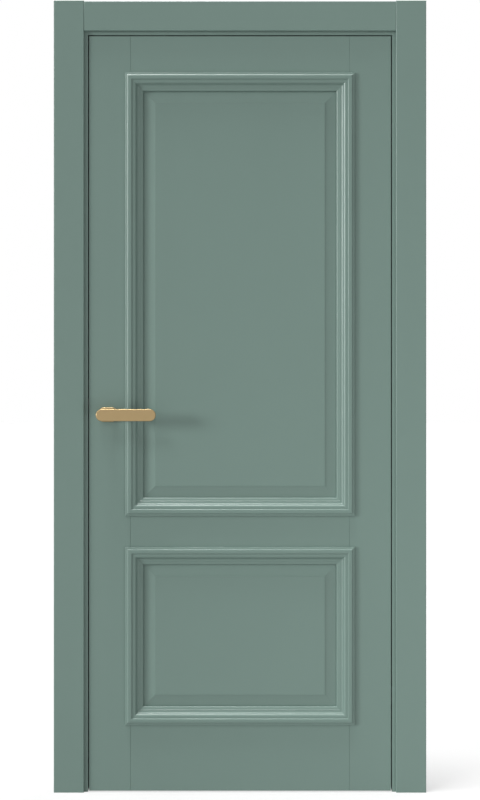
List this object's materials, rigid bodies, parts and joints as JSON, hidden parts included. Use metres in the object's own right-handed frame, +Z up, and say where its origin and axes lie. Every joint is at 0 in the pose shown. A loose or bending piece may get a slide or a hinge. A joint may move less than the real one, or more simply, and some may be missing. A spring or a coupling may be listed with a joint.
{
  "type": "interior door",
  "caption": "Panelled interior door leaf in its frame with seals and casings, concealed hinges, a magnetic latch and lever handles.",
  "frame": {"origin": "on the floor, midway between the side casings and midway between the faces of the two levers", "axes": "+Z up, +Y into the wall, away from the side that the leaf opens towards, +X to the right of a viewer on that side"},
  "size_m": [0.986, 0.16, 2.096],
  "materials": {
    "grey_green_paint": "timber and fibreboard under smooth satin grey-green paint",
    "dowel_beech": "plain turned beech",
    "seal_rubber": "matte dark seal",
    "matte_gold": "satin brass, finely brushed",
    "satin_steel": "brushed stainless steel",
    "zinc_plated_steel": "bright zinc plating",
    "satin_zinc_casting": "die-cast zinc with satin plating"
  },
  "bodies": {
    "frame": {"corner_screws": "zinc_plated_steel", "frame_plate_screws": "zinc_plated_steel", "front_head_casing": "grey_green_paint", "front_left_casing": "grey_green_paint", "front_right_casing": "grey_green_paint", "head_jamb": "grey_green_paint", "head_seal": "seal_rubber", "head_stop": "grey_green_paint", "hinge_frame_housings": "satin_zinc_casting", "hinge_frame_pins": "zinc_plated_steel", "left_jamb": "grey_green_paint", "left_seal": "seal_rubber", "left_stop": "grey_green_paint", "rear_head_casing": "grey_green_paint", "rear_left_casing": "grey_green_paint", "rear_right_casing": "grey_green_paint", "right_jamb": "grey_green_paint", "right_seal": "seal_rubber", "right_stop": "grey_green_paint", "strike_plate": "satin_steel"},
    "leaf": {"bottom_rail": "grey_green_paint", "front_lower_bottom_moulding": "grey_green_paint", "front_lower_left_moulding": "grey_green_paint", "front_lower_right_moulding": "grey_green_paint", "front_lower_top_moulding": "grey_green_paint", "front_rosette": "matte_gold", "front_upper_bottom_moulding": "grey_green_paint", "front_upper_left_moulding": "grey_green_paint", "front_upper_right_moulding": "grey_green_paint", "front_upper_top_moulding": "grey_green_paint", "hinge_leaf_housings": "satin_zinc_casting", "hinge_leaf_pins": "zinc_plated_steel", "hinge_stile": "grey_green_paint", "latch_case": "zinc_plated_steel", "latch_faceplate": "satin_steel", "latch_stile": "grey_green_paint", "leaf_plate_screws": "zinc_plated_steel", "lock_rail": "grey_green_paint", "lower_panel": "grey_green_paint", "rail_dowels": "dowel_beech", "rear_lower_bottom_moulding": "grey_green_paint", "rear_lower_left_moulding": "grey_green_paint", "rear_lower_right_moulding": "grey_green_paint", "rear_lower_top_moulding": "grey_green_paint", "rear_rosette": "matte_gold", "rear_upper_bottom_moulding": "grey_green_paint", "rear_upper_left_moulding": "grey_green_paint", "rear_upper_right_moulding": "grey_green_paint", "rear_upper_top_moulding": "grey_green_paint", "rosette_bolts": "matte_gold", "top_rail": "grey_green_paint", "upper_panel": "grey_green_paint"},
    "lever_set": {"front_lever": "matte_gold", "rear_lever": "matte_gold", "spindle": "zinc_plated_steel", "latch_follower": "zinc_plated_steel"},
    "latch": {"latch_bolt": "satin_steel"},
    "frame_arms": {"hinge_frame_arms": "satin_zinc_casting"},
    "leaf_arms": {"hinge_leaf_arms": "satin_zinc_casting"}
  },
  "joints": [
    {"name": "leaf_swing", "type": "hinge", "parent": "frame", "child": "leaf", "pos_m": [0.4015, -0.026, 1], "axis": [0, 0, 1], "range_deg": [0, 110]},
    {"name": "lever_turn", "type": "hinge", "parent": "leaf", "child": "lever_set", "pos_m": [-0.35, 0, 1], "axis": [0, 1, 0], "range_deg": [0, 45], "stiffness_Nm_per_rad": 1, "springref_deg": -57.3},
    {"name": "latch_slide", "type": "slide", "parent": "leaf", "child": "latch", "axis": [-1, 0, 0], "range_m": [0, 0.011], "stiffness_N_per_m": 60, "springref_m": -0.01},
    {"name": "frame_arm_turn", "type": "hinge", "parent": "frame", "child": "frame_arms", "pos_m": [0.41, -0.0088, 1], "axis": [0, 0, 1], "range_deg": [0, 110]},
    {"name": "leaf_arm_turn", "type": "hinge", "parent": "leaf", "child": "leaf_arms", "pos_m": [0.393, -0.0088, 1], "axis": [0, 0, 1], "range_deg": [-110, 0]}
  ],
  "couplings": [
    {"joint": "frame_arm_turn", "follows": "leaf_swing", "ratio": 1},
    {"joint": "leaf_arm_turn", "follows": "leaf_swing", "ratio": -1}
  ]
}
